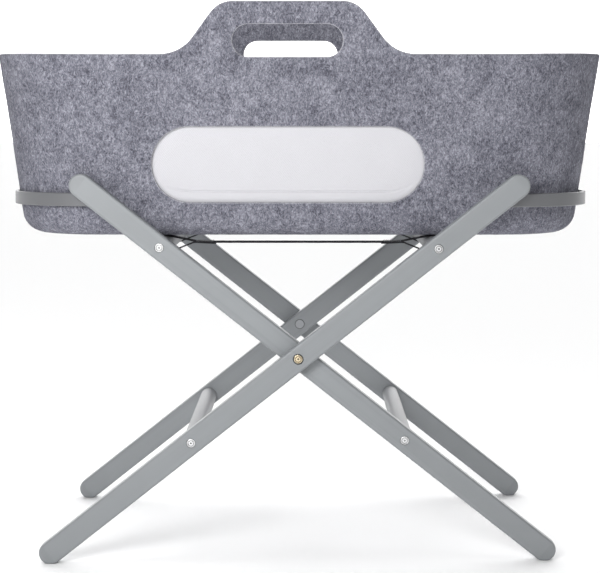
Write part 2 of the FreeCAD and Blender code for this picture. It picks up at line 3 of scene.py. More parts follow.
import bmesh
import bpy
import numpy as np
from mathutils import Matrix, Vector
from mathutils.bvhtree import BVHTree
from mathutils.geometry import delaunay_2d_cdt


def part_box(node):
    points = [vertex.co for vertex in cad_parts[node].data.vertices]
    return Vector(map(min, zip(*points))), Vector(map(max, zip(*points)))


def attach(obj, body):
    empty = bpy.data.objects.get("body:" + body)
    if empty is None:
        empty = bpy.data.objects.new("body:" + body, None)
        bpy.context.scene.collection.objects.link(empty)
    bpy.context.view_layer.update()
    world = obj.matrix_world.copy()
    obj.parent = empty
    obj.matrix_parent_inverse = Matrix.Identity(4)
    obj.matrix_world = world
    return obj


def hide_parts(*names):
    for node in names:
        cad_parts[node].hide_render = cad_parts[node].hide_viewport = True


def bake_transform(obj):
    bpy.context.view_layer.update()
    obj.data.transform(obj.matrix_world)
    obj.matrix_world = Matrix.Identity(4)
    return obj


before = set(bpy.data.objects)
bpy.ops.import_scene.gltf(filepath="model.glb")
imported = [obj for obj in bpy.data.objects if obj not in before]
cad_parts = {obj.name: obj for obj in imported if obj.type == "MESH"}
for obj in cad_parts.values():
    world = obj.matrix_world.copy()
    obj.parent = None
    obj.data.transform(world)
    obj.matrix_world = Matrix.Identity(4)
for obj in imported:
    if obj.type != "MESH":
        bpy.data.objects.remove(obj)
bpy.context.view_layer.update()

# ---- sizes of the frame, in metres ----

TAPER = math.radians(8.05)         # basket wall from upright
FELT = 0.0045                      # felt thickness
FELT_EDGE = 0.0012                 # how far a cut edge is rounded
CORNER = 0.150                     # basket corner radius at the rim
BOTTOM_ROUND = 0.030
RIM_END_RISE = 0.005
RIM_LEVEL_HALF = 0.250
HANDLE_X = -0.0141                 # middle of handles and windows
HANDLE_RISE = 0.068
HANDLE_HALF_BASE = 0.168
HANDLE_SLOPE = math.radians(53.0)
HANDLE_BASE_ROUND = 0.055
HANDLE_TOP_ROUND = 0.036
GRIP_LENGTH, GRIP_HEIGHT, GRIP_BELOW_RIM = 0.145, 0.042, 0.004
WINDOW_LENGTH, WINDOW_HEIGHT, WINDOW_SILL = 0.363, 0.101, 0.045
MESH_BORDER = 0.012
LEG_SLOPE = math.radians(38.35)
BAR_RADIUS = 0.012
STRAP_THICK = 0.0012
STRAP_CUP = 0.0013                 # how far the webbing's edges hang below its middle
STRAP_SEAM_REACH, STRAP_SEAM_RISE = 0.040, 0.004
STRAP_PLAY = 0.0003                # between the webbing and a crossbar
BOX_START, BOX_END, BOX_MARGIN = 0.005, 0.028, 0.003   # box stitching, from the seam and the edges
CUT_SPACING, SEAM_SPACING = 0.0035, 0.006   # of points along the wall's cut edges and its seam
WALL_SPACING, FLOOR_SPACING = 0.0065, 0.012
ROW_STEP = 0.866                   # height of an even triangle of side 1
ON_EDGE = 1e-6                     # a point this near an edge of the flat drawing lies on it
WELD_DISTANCE = 0.00002

shell_low, shell_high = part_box("felt_shell")
BOTTOM = shell_low.z
RIM = shell_high.z - HANDLE_RISE
HALF_LENGTH = 0.4185               # of the rim
bar_low, bar_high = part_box("right_top_crossbar")
bar_x = (bar_low.x + bar_high.x) / 2
bar_z = (bar_low.z + bar_high.z) / 2
strap_low, strap_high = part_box("near_strap")
strap_y = -(strap_low.y + strap_high.y) / 2
STRAP_WIDTH = strap_high.y - strap_low.y
# the handles are the widest part of the shell, HANDLE_RISE above the rim
HALF_WIDTH = shell_high.y - math.tan(TAPER) * HANDLE_RISE


# ---- small helpers ----

def new_object(name, verts, faces, materials, smooth=True, face_material=None):
    mesh = bpy.data.meshes.new(name)
    mesh.from_pydata([tuple(v) for v in verts], [], [tuple(f) for f in faces])
    for material in materials:
        mesh.materials.append(material)
    if face_material is not None:
        mesh.polygons.foreach_set("material_index", np.array(face_material, np.int32))
    mesh.polygons.foreach_set("use_smooth", [smooth] * len(mesh.polygons))
    mesh.update()
    made = bpy.data.objects.new(name, mesh)
    bpy.context.scene.collection.objects.link(made)
    return made


def apply_modifiers(obj):
    bpy.context.view_layer.update()
    graph = bpy.context.evaluated_depsgraph_get()
    done = bpy.data.meshes.new_from_object(obj.evaluated_get(graph))
    obj.modifiers.clear()
    obj.data = done
    return obj


def waves(points, seed, scale, count=9):
    """A smooth random field near -1..1, the same on every run."""
    rng = np.random.default_rng(seed)
    total = np.zeros(len(points))
    for _ in range(count):
        direction = rng.normal(size=3)
        direction /= np.linalg.norm(direction)
        phase = rng.uniform(0, 2 * math.pi)
        rate = 2 * math.pi / scale * rng.uniform(0.6, 1.6)
        total += np.sin(points @ direction * rate + phase)
    return total / math.sqrt(count) / 1.4


def tube(path, radius, sides=8, closed=False):
    """Vertices and faces of a round tube along a path of points."""
    path = np.array(path, float)
    ahead = np.roll(path, -1, 0) - path if closed else np.gradient(path, axis=0)
    behind = path - np.roll(path, 1, 0) if closed else ahead
    along = ahead + behind
    along /= np.linalg.norm(along, axis=1)[:, None]
    up = np.array([0.0, 0.0, 1.0])
    verts, faces = [], []
    for point, heading in zip(path, along):
        side = np.cross(heading, up)
        if np.linalg.norm(side) < 1e-6:
            side = np.array([1.0, 0.0, 0.0])
        side /= np.linalg.norm(side)
        other = np.cross(side, heading)
        for k in range(sides):
            turn = 2 * math.pi * k / sides
            verts.append(point + radius * (math.cos(turn) * side + math.sin(turn) * other))
    rings = len(path)
    for i in range(rings if closed else rings - 1):
        for k in range(sides):
            a, b = i * sides + k, i * sides + (k + 1) % sides
            c, d = ((i + 1) % rings) * sides + (k + 1) % sides, ((i + 1) % rings) * sides + k
            faces.append((a, b, c, d))
    if not closed:
        faces.append(tuple(range(sides))[::-1])
        faces.append(tuple(range((rings - 1) * sides, rings * sides)))
    return verts, faces


def resample(path, spacing, closed=False):
    """Evenly spaced points along a polyline."""
    path = np.array(path, float)
    if closed:
        path = np.vstack([path, path[:1]])
    steps = np.linalg.norm(np.diff(path, axis=0), axis=1)
    run = np.concatenate([[0], np.cumsum(steps)])
    count = max(2, int(round(run[-1] / spacing)) + 1)
    where = np.linspace(0, run[-1], count)
    if closed:
        where = where[:-1]
    return np.stack([np.interp(where, run, path[:, k]) for k in range(path.shape[1])], 1)


def stitches(name, rows, material, pitch=0.0036, length=0.0026, radius=0.00035, sink=0.5):
    """Lines of thread: each stitch is a short rounded tube that dips into the cloth at both ends.
    rows holds (points, outward direction at each point)."""
    verts, faces = [], []
    for points, outward in rows:
        path = resample(points, pitch)
        normals = np.stack([np.interp(np.linspace(0, 1, len(path)), np.linspace(0, 1, len(outward)),
                                      np.array(outward)[:, k]) for k in range(3)], 1)
        for i in range(len(path) - 1):
            step = path[i + 1] - path[i]
            distance = np.linalg.norm(step)
            if distance < 1e-6:
                continue
            heading = step / distance
            line = []
            for share, lift in ((0, -sink), (0.25, 0.6), (0.5, 0.9), (0.75, 0.6), (1, -sink)):
                line.append(path[i] + heading * length * share + normals[i] * radius * lift)
            more, polys = tube(line, radius, 6)
            base = len(verts)
            verts += more
            faces += [tuple(v + base for v in f) for f in polys]
    return new_object(name, verts, faces, [material])


# ---- node materials ----

class Graph:
    """A short way to write a material's nodes."""

    def __init__(self, name):
        self.material = bpy.data.materials.new(name)
        self.material.use_nodes = True
        self.tree = self.material.node_tree
        self.shader = self.tree.nodes["Principled BSDF"]
        self.place = self.add("ShaderNodeTexCoord").outputs["Object"]

    def add(self, kind, **settings):
        node = self.tree.nodes.new(kind)
        for key, value in settings.items():
            setattr(node, key, value)
        return node

    def feed(self, socket, value):
        if isinstance(value, bpy.types.NodeSocket):
            self.tree.links.new(value, socket)
        elif value is not None:
            socket.default_value = value

    def mapped(self, scale=(1, 1, 1), turn=(0, 0, 0), source=None):
        node = self.add("ShaderNodeMapping")
        self.feed(node.inputs["Vector"], source or self.place)
        node.inputs["Scale"].default_value = scale
        node.inputs["Rotation"].default_value = turn
        return node.outputs[0]

    def noise(self, vector, scale, detail=3.0, rough=0.55, distortion=0.0):
        node = self.add("ShaderNodeTexNoise")
        self.feed(node.inputs["Vector"], vector)
        node.inputs["Scale"].default_value = scale
        node.inputs["Detail"].default_value = detail
        node.inputs["Roughness"].default_value = rough
        node.inputs["Distortion"].default_value = distortion
        return node

    def math(self, operation, a, b=None, c=None):
        node = self.add("ShaderNodeMath", operation=operation)
        for socket, value in zip(node.inputs, (a, b, c)):
            self.feed(socket, value)
        return node.outputs[0]

    def vmath(self, operation, a, b=None):
        node = self.add("ShaderNodeVectorMath", operation=operation)
        self.feed(node.inputs[0], a)
        if b is not None:
            self.feed(node.inputs[3 if operation == "SCALE" else 1], b)
        return node.outputs[0]

    def ramp(self, value, stops):
        node = self.add("ShaderNodeValToRGB")
        self.feed(node.inputs[0], value)
        elements = node.color_ramp.elements
        while len(elements) < len(stops):
            elements.new(0.5)
        for element, (position, colour) in zip(elements, stops):
            element.position = position
            if isinstance(colour, (int, float)):
                colour = (colour, colour, colour)
            element.color = (*colour, 1)
        return node.outputs[0]

    def mix(self, factor, a, b, blend="MIX"):
        node = self.add("ShaderNodeMix", data_type="RGBA", blend_type=blend)
        self.feed(node.inputs[0], factor)
        for socket, value in ((node.inputs[6], a), (node.inputs[7], b)):
            self.feed(socket, (*value, 1) if isinstance(value, tuple) else value)
        return node.outputs[2]

    def bump(self, height, distance, strength=1.0, normal=None):
        node = self.add("ShaderNodeBump")
        self.feed(node.inputs["Height"], height)
        node.inputs["Distance"].default_value = distance
        node.inputs["Strength"].default_value = strength
        if normal is not None:
            self.feed(node.inputs["Normal"], normal)
        return node.outputs[0]

    def painted_recess_shade(self, reach, low=0.35, high=0.85):
        """Mask for painted shade: 1 in grooves and pockets, 0 on open faces."""
        node = self.add("ShaderNodeAmbientOcclusion", samples=8, only_local=False)
        node.inputs["Distance"].default_value = reach
        return self.ramp(node.outputs["AO"], [(low, 1.0), (high, 0.0)])

    def finish(self, colour, rough, normal=None, **sockets):
        self.feed(self.shader.inputs["Base Color"], (*colour, 1) if isinstance(colour, tuple) else colour)
        self.feed(self.shader.inputs["Roughness"], rough)
        if normal is not None:
            self.feed(self.shader.inputs["Normal"], normal)
        for key, value in sockets.items():
            self.shader.inputs[key.replace("_", " ")].default_value = value
        return self.material


def felt_material(name, dark, mid, light, streak=True, depth=0.0007):
    """Needled wool-look felt: matted fibres that mostly run up the wall, in several greys."""
    g = Graph(name)
    drift = g.noise(g.place, 70.0, 2.0)
    wander = g.vmath("SCALE", g.vmath("SUBTRACT", drift.outputs["Color"], (0.5, 0.5, 0.5)), 0.010)
    bent = g.vmath("ADD", g.place, wander)
    fibres = g.noise(g.mapped((1.0, 1.0, 0.55 if streak else 1.0), source=bent), 560.0, 4.0, 0.72, 0.4)
    strands = g.noise(g.mapped((1.0, 1.0, 0.32 if streak else 0.8), source=bent), 1000.0, 3.0, 0.6, 0.6)
    tufts = g.noise(g.mapped((1.0, 1.0, 0.75), source=bent), 170.0, 4.0, 0.65, 0.5)
    clouds = g.noise(g.place, 30.0, 4.0, 0.6)
    blend = g.math("MULTIPLY_ADD", fibres.outputs["Fac"], 0.56,
                   g.math("MULTIPLY", tufts.outputs["Fac"], 0.27))
    blend = g.math("ADD", blend, g.math("MULTIPLY", clouds.outputs["Fac"], 0.17))
    colour = g.ramp(blend, [(0.40, dark), (0.50, mid), (0.61, light)])
    hairs = g.ramp(strands.outputs["Fac"], [(0.60, 0.0), (0.72, 1.0)])
    colour = g.mix(g.math("MULTIPLY", hairs, 0.34), colour, light)
    shade = g.ramp(strands.outputs["Fac"], [(0.29, 1.0), (0.41, 0.0)])
    colour = g.mix(g.math("MULTIPLY", shade, 0.65), colour, dark)
    height = g.math("ADD", g.math("MULTIPLY", fibres.outputs["Fac"], 0.6),
                    g.math("MULTIPLY", strands.outputs["Fac"], 0.4))
    normal = g.bump(height, depth, 0.8, g.bump(tufts.outputs["Fac"], 0.0012, 0.5))
    return g.finish(colour, 0.93, normal, Sheen_Weight=0.02, Sheen_Roughness=0.5, Specular_IOR_Level=0.08)


def lacquer(name, colour, turn, rough=0.40):
    """Satin paint on a planed wooden bar: a little grain telegraphs through along the bar."""
    g = Graph(name)
    along = g.mapped((6.0, 120.0, 120.0), (0.0, turn, 0.0))
    grain = g.noise(along, 1.0, 4.0, 0.55, 0.4)
    peel = g.noise(g.place, 900.0, 2.0)
    broad = g.noise(g.place, 9.0, 2.0)
    # sharp edges painted lighter: partly paint wear, partly a painted highlight
    edges = g.add("ShaderNodeNewGeometry").outputs["Pointiness"]
    wear_and_edge_highlight = g.ramp(edges, [(0.50, 0.0), (0.60, 1.0)])
    low = tuple(c * 0.94 for c in colour)
    high = tuple(min(1.0, c * 1.05) for c in colour)
    tone = g.mix(broad.outputs["Fac"], low, high)
    tone = g.mix(g.math("MULTIPLY", grain.outputs["Fac"], 0.12), tone, low)
    tone = g.mix(g.math("MULTIPLY", wear_and_edge_highlight, 0.30), tone, tuple(min(1.0, c * 1.35) for c in colour))
    # painted shade: recesses such as counterbores are painted much darker
    tone = g.mix(g.math("MULTIPLY", g.painted_recess_shade(0.003, 0.25, 0.60), 0.75), tone, tuple(c * 0.18 for c in colour))
    sheen = g.math("MULTIPLY_ADD", broad.outputs["Fac"], 0.10, rough - 0.05)
    normal = g.bump(grain.outputs["Fac"], 0.00012, 0.5, g.bump(peel.outputs["Fac"], 0.00004, 0.5))
    return g.finish(tone, sheen, normal, Specular_IOR_Level=0.45)


def metal(name, colour, rough, metallic=1.0):
    """Plated steel or brass with fine handling marks."""
    g = Graph(name)
    marks = g.noise(g.mapped((1.0, 1.0, 4.0)), 700.0, 4.0, 0.6)
    smudge = g.noise(g.place, 120.0, 3.0)
    tone = g.mix(smudge.outputs["Fac"], tuple(c * 0.82 for c in colour), colour)
    # painted shade: grooves and sockets are painted almost black
    tone = g.mix(g.painted_recess_shade(0.0016, 0.50, 0.78), tone, tuple(c * 0.02 for c in colour))
    gloss = g.math("MULTIPLY_ADD", marks.outputs["Fac"], 0.22, rough - 0.08)
    normal = g.bump(marks.outputs["Fac"], 0.00003, 0.5)
    return g.finish(tone, gloss, normal, Metallic=metallic)


def powder_coat(name, colour):
    """Satin powder coat on bent flat steel."""
    g = Graph(name)
    pebble = g.noise(g.place, 1500.0, 2.0)
    broad = g.noise(g.place, 14.0, 2.0)
    tone = g.mix(broad.outputs["Fac"], tuple(c * 0.93 for c in colour), tuple(c * 1.06 for c in colour))
    # painted highlight: the band's sharp edges are painted lighter
    edges = g.ramp(g.add("ShaderNodeNewGeometry").outputs["Pointiness"], [(0.52, 0.0), (0.64, 1.0)])
    tone = g.mix(g.math("MULTIPLY", edges, 0.35), tone, tuple(min(1.0, c * 1.7) for c in colour))
    gloss = g.math("MULTIPLY_ADD", pebble.outputs["Fac"], 0.12, 0.30)
    return g.finish(tone, gloss, g.bump(pebble.outputs["Fac"], 0.00006, 0.6), Metallic=0.35)


def woven(name, colour, dark, pitch, across=(1, 0, 0), along=(0, 1, 0), depth=0.0003, sheen=0.3, gloss=0.3):
    """A plain weave from two crossed sets of rounded yarns."""
    g = Graph(name)
    sets = []
    for direction in (across, along):
        dot = g.add("ShaderNodeVectorMath", operation="DOT_PRODUCT")
        g.feed(dot.inputs[0], g.place)
        dot.inputs[1].default_value = direction
        sets.append(g.math("SINE", g.math("MULTIPLY", dot.outputs["Value"], 2 * math.pi / pitch)))
    over = g.math("MULTIPLY", sets[0], sets[1])
    height = g.math("MULTIPLY_ADD", over, 0.5, 0.5)
    fuzz = g.noise(g.place, 1800.0, 3.0)
    patch = g.noise(g.place, 40.0, 3.0)
    tone = g.mix(height, dark, colour)
    tone = g.mix(g.math("MULTIPLY", patch.outputs["Fac"], 0.25), tone, dark)
    full = g.math("MULTIPLY_ADD", fuzz.outputs["Fac"], 0.35, height)
    return g.finish(tone, 0.85, g.bump(full, depth, 0.8), Sheen_Weight=sheen, Specular_IOR_Level=gloss)


def spacer_mesh(name):
    """White warp-knit mesh: staggered rows of small round holes in a soft knit."""
    g = Graph(name)
    split = g.add("ShaderNodeSeparateXYZ")
    g.feed(split.inputs[0], g.place)
    pitch = 0.0024
    across = g.math("MULTIPLY", split.outputs["X"], 2 * math.pi / pitch)
    upward = g.math("MULTIPLY", split.outputs["Z"], 2 * math.pi / (pitch * 1.5))
    first = g.math("MULTIPLY", g.math("COSINE", across), g.math("COSINE", upward))
    shifted = g.math("MULTIPLY", g.math("SINE", across), g.math("SINE", upward))
    holes = g.ramp(g.math("MAXIMUM", first, shifted), [(0.50, 0.0), (0.80, 1.0)])
    yarn = g.noise(g.mapped((1.0, 1.0, 0.4)), 1600.0, 3.0)
    patch = g.noise(g.place, 22.0, 3.0)
    white = g.mix(patch.outputs["Fac"], (0.588, 0.584, 0.611), (0.598, 0.594, 0.622))
    tone = g.mix(g.math("MULTIPLY", holes, 0.22), white, (0.42, 0.42, 0.455))
    # painted shade: darker in the crease and under the felt's cut edge
    tone = g.mix(g.math("MULTIPLY", g.painted_recess_shade(0.0045, 0.45, 0.95), 0.10), tone, (0.25, 0.25, 0.27))
    height = g.math("SUBTRACT", g.math("MULTIPLY", yarn.outputs["Fac"], 0.4), holes)
    return g.finish(tone, 0.80, g.bump(height, 0.0004, 0.7), Sheen_Weight=0.15, Specular_IOR_Level=0.3)


def knit_cover(name):
    """Soft white jersey of the mattress, with fine ribs."""
    g = Graph(name)
    split = g.add("ShaderNodeSeparateXYZ")
    g.feed(split.inputs[0], g.place)
    ribs = g.math("SINE", g.math("MULTIPLY", split.outputs["X"], 2 * math.pi / 0.0016))
    loops = g.math("SINE", g.math("MULTIPLY", split.outputs["Y"], 2 * math.pi / 0.0022))
    knit = g.math("MULTIPLY", ribs, loops)
    fuzz = g.noise(g.place, 900.0, 4.0)
    patch = g.noise(g.place, 12.0, 4.0)
    white = g.mix(patch.outputs["Fac"], (0.80, 0.80, 0.80), (0.88, 0.88, 0.885))
    tone = g.mix(g.math("MULTIPLY_ADD", knit, 0.06, 0.06), white, (0.70, 0.70, 0.71))
    height = g.math("MULTIPLY_ADD", fuzz.outputs["Fac"], 0.6, knit)
    normal = g.bump(height, 0.00025, 0.6, g.bump(patch.outputs["Fac"], 0.002, 0.4))
    return g.finish(tone, 0.9, normal, Sheen_Weight=0.3)


def plastic(name, colour):
    g = Graph(name)
    grain = g.noise(g.place, 800.0, 3.0)
    tone = g.mix(grain.outputs["Fac"], tuple(c * 0.92 for c in colour), colour)
    return g.finish(tone, 0.5, g.bump(grain.outputs["Fac"], 0.00003, 0.5))


def hardboard(name):
    g = Graph(name)
    fibre = g.noise(g.mapped((1.0, 2.5, 1.0)), 260.0, 6.0, 0.65, 0.6)
    patch = g.noise(g.place, 18.0, 3.0)
    tone = g.ramp(fibre.outputs["Fac"], [(0.35, (0.20, 0.12, 0.065)), (0.65, (0.36, 0.24, 0.14))])
    tone = g.mix(g.math("MULTIPLY", patch.outputs["Fac"], 0.3), tone, (0.27, 0.17, 0.09))
    return g.finish(tone, 0.62, g.bump(fibre.outputs["Fac"], 0.0001, 0.5))


FELT_DARK, FELT_MID, FELT_LIGHT = (0.060, 0.061, 0.077), (0.166, 0.167, 0.202), (0.338, 0.340, 0.385)
LEG_COLOUR = (0.236, 0.248, 0.258)
felt = felt_material("felt_grey", FELT_DARK, FELT_MID, FELT_LIGHT)
felt_cut = felt_material("felt_cut_edge", (0.17, 0.17, 0.19), (0.30, 0.30, 0.33), (0.50, 0.50, 0.53),
                         False, 0.0009)
leg_front = lacquer("leg_paint_front", LEG_COLOUR, LEG_SLOPE)
leg_back = lacquer("leg_paint_back", LEG_COLOUR, -LEG_SLOPE)
bar_paint = lacquer("crossbar_paint", (0.235, 0.240, 0.250), math.pi / 2, 0.50)
band_paint = powder_coat("band_coat", (0.166, 0.169, 0.177))
steel = metal("zinc_steel", (0.90, 0.90, 0.91), 0.30)
brass = metal("brass_pivot", (0.80, 0.68, 0.48), 0.30)
brass_insert = metal("brass_insert", (0.72, 0.55, 0.28), 0.35)
cap_paint = metal("pivot_cap", (0.34, 0.35, 0.365), 0.38, 0.5)
nylon = plastic("nylon_washer", (0.62, 0.62, 0.61))
webbing = woven("webbing_dark", (0.036, 0.036, 0.040), (0.012, 0.012, 0.014), 0.0018, sheen=0.04, gloss=0.12)
webbing_white_thread = woven("strap_thread", (0.30, 0.30, 0.31), (0.16, 0.16, 0.17), 0.0006)
mesh_white = spacer_mesh("window_mesh_white")
cover_white = knit_cover("mattress_knit")
piping_white = woven("piping_cotton", (0.84, 0.84, 0.85), (0.66, 0.66, 0.68), 0.0012,
                     (1, 1, 0), (1, -1, 1), 0.0002)
white_thread = woven("white_thread", (0.80, 0.80, 0.82), (0.55, 0.55, 0.58), 0.0006)
board = hardboard("base_board")

NODE_FINISH = {
    "front_leg_near": leg_front, "front_leg_far": leg_front,
    "back_leg_near": leg_back, "back_leg_far": leg_back,
    "right_top_crossbar": bar_paint, "left_lower_crossbar": bar_paint, "left_top_crossbar": bar_paint,
    "right_lower_crossbar": bar_paint, "right_end_band": band_paint, "left_end_band": band_paint,
    "front_crossbar_screws": steel, "back_crossbar_screws": steel, "front_band_screws": steel,
    "back_band_screws": steel, "front_crossbar_inserts": brass_insert, "back_crossbar_inserts": brass_insert,
    "near_pivot_bolt": brass, "far_pivot_bolt": brass,
    "near_pivot_nut": cap_paint, "far_pivot_nut": cap_paint,
    "near_pivot_washer": nylon, "far_pivot_washer": nylon, "base_board": board,
}
for node, material in NODE_FINISH.items():
    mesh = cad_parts[node].data
    mesh.materials.clear()
    mesh.materials.append(material)

# ---- felt shell: a wall drawn flat, cut out, and bent round the basket's plan ----

STRAIGHT_X = HALF_LENGTH - CORNER
STRAIGHT_Y = HALF_WIDTH - CORNER
ARC_RUN = 0.133 * math.pi / 2      # how long a corner is in the flat drawing
QUARTER = [2 * STRAIGHT_X, ARC_RUN, 2 * STRAIGHT_Y, ARC_RUN]
AROUND = 2 * sum(QUARTER)
FILLET_Z = BOTTOM + BOTTOM_ROUND
FILLET_N = math.tan(TAPER) * (RIM - FILLET_Z) + BOTTOM_ROUND / math.cos(TAPER)
WALL_LOW = FILLET_Z - BOTTOM_ROUND * math.sin(TAPER)


def around(s):
    """Corner centre and outward direction for a place s along the flat drawing.
    s starts at the left end of the near side and runs right, round the right end and back."""
    s = np.asarray(s, float) % AROUND
    centre = np.zeros((len(s), 2))
    out = np.zeros((len(s), 2))
    edges = np.cumsum([0] + QUARTER + QUARTER)
    for k in range(8):
        inside = (s >= edges[k] - 1e-12) & (s <= edges[k + 1] + 1e-12)
        u = s[inside] - edges[k]
        flip = 1 if k < 4 else -1
        if k % 4 == 0:
            centre[inside] = np.stack([flip * (u - STRAIGHT_X), np.full(len(u), -flip * STRAIGHT_Y)], 1)
            out[inside] = (0, -flip)
        elif k % 4 == 2:
            centre[inside] = np.stack([np.full(len(u), flip * STRAIGHT_X), flip * (u - STRAIGHT_Y)], 1)
            out[inside] = (flip, 0)
        else:
            turn = u / ARC_RUN * math.pi / 2 + (-math.pi / 2 if k % 4 == 1 else 0)
            end = -1 if k % 4 == 1 else 1
            centre[inside] = (flip * STRAIGHT_X, flip * end * STRAIGHT_Y)
            out[inside] = np.stack([flip * np.cos(turn), flip * np.sin(turn)], 1)
    return centre, out


def sway(points):
    """The felt isn't perfectly flat: soft waves of under a millimetre."""
    return 0.00055 * waves(points, 11, 0.16) + 0.00022 * waves(points, 12, 0.05)


def wall_point(s, z, t):
    """Points t inside the outer face of the wall."""
    centre, out = around(s)
    radius = CORNER - math.tan(TAPER) * (RIM - z)
    flat = centre + out * radius[:, None]
    points = np.column_stack([flat, z])
    inward = np.column_stack([-out * math.cos(TAPER), np.full(len(s), math.sin(TAPER))])
    return points + inward * (t - sway(points))[:, None]


def handle_profile():
    """(x, z above the rim) along the left half of a handle's edge, from the rim to its middle."""
    points = []
    for a in np.linspace(0, HANDLE_SLOPE, 12):
        points.append((-HANDLE_HALF_BASE + HANDLE_BASE_ROUND * math.sin(a),
                       HANDLE_BASE_ROUND * (1 - math.cos(a))))
    top_start = HANDLE_RISE - HANDLE_TOP_ROUND * (1 - math.cos(HANDLE_SLOPE))
    x = points[-1][0] + (top_start - points[-1][1]) / math.tan(HANDLE_SLOPE)
    for a in np.linspace(0, HANDLE_SLOPE, 12):
        turn = HANDLE_SLOPE - a
        points.append((x + HANDLE_TOP_ROUND * (math.sin(HANDLE_SLOPE) - math.sin(turn)),
                       top_start + HANDLE_TOP_ROUND * (math.cos(turn) - math.cos(HANDLE_SLOPE))))
    points.append((0.0, HANDLE_RISE))
    return points


def side_top(flip):
    """The rim and handle edge of one long side, as (s, z)."""
    half = handle_profile()
    full = half + [(-x, z) for x, z in half[-2::-1]]
    points = [(HANDLE_X + x, RIM + z) for x, z in full]
    start = 0 if flip > 0 else AROUND / 2
    placed = [(start + STRAIGHT_X + flip * x, z) for x, z in points]
    if flip < 0:
        placed = placed[::-1]
    return placed


def rim_rise(x):
    beyond = np.maximum(0.0, np.abs(x) - RIM_LEVEL_HALF) / (HALF_LENGTH - RIM_LEVEL_HALF)
    return RIM_END_RISE * beyond ** 2


def top_edge():
    """The whole upper edge of the wall from s = 0 to AROUND."""
    points = []
    stations = np.linspace(0, AROUND, 600)
    centre, out = around(np.minimum(stations, AROUND - 1e-9))
    x = centre[:, 0] + out[:, 0] * CORNER
    spans = [side_top(1), side_top(-1)]
    for s, px in zip(stations, x):
        if any(span[0][0] <= s <= span[-1][0] for span in spans):
            continue
        points.append((s, RIM + float(rim_rise(px))))
    points += spans[0] + spans[1]
    points.sort(key=lambda p: p[0])
    return resample(points, CUT_SPACING)


def stadium_loop(middle_s, middle_z, length, height, grow, spacing=CUT_SPACING):
    radius = height / 2 + grow
    straight = length / 2 - height / 2
    loop = []
    for a in np.linspace(-math.pi / 2, math.pi / 2, 40):
        loop.append((middle_s + straight + radius * math.cos(a), middle_z + radius * math.sin(a)))
    for a in np.linspace(math.pi / 2, 3 * math.pi / 2, 40):
        loop.append((middle_s - straight + radius * math.cos(a), middle_z + radius * math.sin(a)))
    return resample(loop, spacing, True)


def in_stadium(s, z, middle_s, middle_z, length, height, grow):
    straight = length / 2 - height / 2
    ds = np.maximum(0, np.abs(s - middle_s) - straight)
    return np.hypot(ds, z - middle_z) < height / 2 + grow


GRIP_Z = RIM - GRIP_BELOW_RIM + GRIP_HEIGHT / 2
WINDOW_Z = BOTTOM + WINDOW_SILL + WINDOW_HEIGHT / 2
NEAR_S = STRAIGHT_X + HANDLE_X
FAR_S = AROUND / 2 + STRAIGHT_X - HANDLE_X
HOLES = []
for hole_s in (NEAR_S, FAR_S):
    HOLES.append((hole_s, GRIP_Z, GRIP_LENGTH, GRIP_HEIGHT))
    HOLES.append((hole_s, WINDOW_Z, WINDOW_LENGTH, WINDOW_HEIGHT))


def cut_flat(outline, loops, spacing, keep, more=()):
    """Triangles over an outline with holes, from an even spread of points and any more given.
    keep says which to keep."""
    points = [tuple(p) for p in outline]
    edges = [(i, (i + 1) % len(points)) for i in range(len(points))]
    for loop in loops:
        base = len(points)
        points += [tuple(p) for p in loop]
        edges += [(base + i, base + (i + 1) % len(loop)) for i in range(len(loop))]
    border = np.array(points)
    low, high = border.min(0), border.max(0)
    rows = int((high[1] - low[1]) / (spacing * ROW_STEP)) + 1
    inner = []
    for row in range(rows):
        shift = spacing / 2 if row % 2 else 0
        xs = np.arange(low[0] + shift, high[0], spacing)
        inner.append(np.column_stack([xs, np.full(len(xs), low[1] + row * spacing * ROW_STEP)]))
    inner = np.vstack(inner)
    inner = inner[keep(inner[:, 0], inner[:, 1], spacing * 0.5)]
    if len(more):
        inner = np.vstack([inner, more[keep(more[:, 0], more[:, 1], 0.0015)]])
    everything = [Vector(p) for p in points] + [Vector(p) for p in inner]
    verts, _, faces, _, _, _ = delaunay_2d_cdt(everything, edges, [], 0, 1e-7)
    verts = np.array([(v.x, v.y) for v in verts])
    faces = np.array([tuple(f) for f in faces])
    middle = verts[faces].mean(1)
    return verts, faces[keep(middle[:, 0], middle[:, 1], 0.0)]


def border_edges(faces):
    """Directed edges that only one triangle uses."""
    seen = {}
    for f in faces:
        for a, b in ((f[0], f[1]), (f[1], f[2]), (f[2], f[0])):
            seen[(a, b)] = 1
    return [(a, b) for a, b in seen if (b, a) not in seen]


